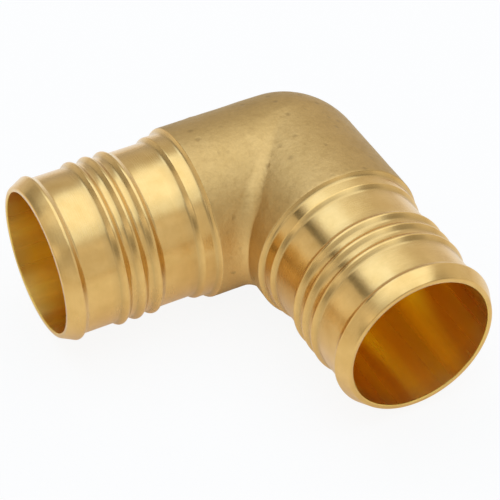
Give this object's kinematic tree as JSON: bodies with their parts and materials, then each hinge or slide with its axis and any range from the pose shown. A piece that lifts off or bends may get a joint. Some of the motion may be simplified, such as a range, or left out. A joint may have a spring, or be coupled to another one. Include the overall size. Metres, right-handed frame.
{
  "type": "pipe crimp elbow fitting",
  "caption": "Brass right-angle crimp elbow for plastic water pipe: plain forged corner, ribbed insert ends with tapered mouths and a stop band, and an open drilled waterway.",
  "frame": {"origin": "point where the two waterway axes cross, inside the corner", "axes": "+X out of one mouth along its waterway, +Y out of the other mouth, +Z square to both legs; the fitting lies flat on its barrels on a plane square to Z"},
  "size_m": [0.0474, 0.0474, 0.0232],
  "materials": {
    "brass": "satin"
  },
  "bodies": {
    "root": {"elbow_fitting": "brass"}
  },
  "joints": []
}
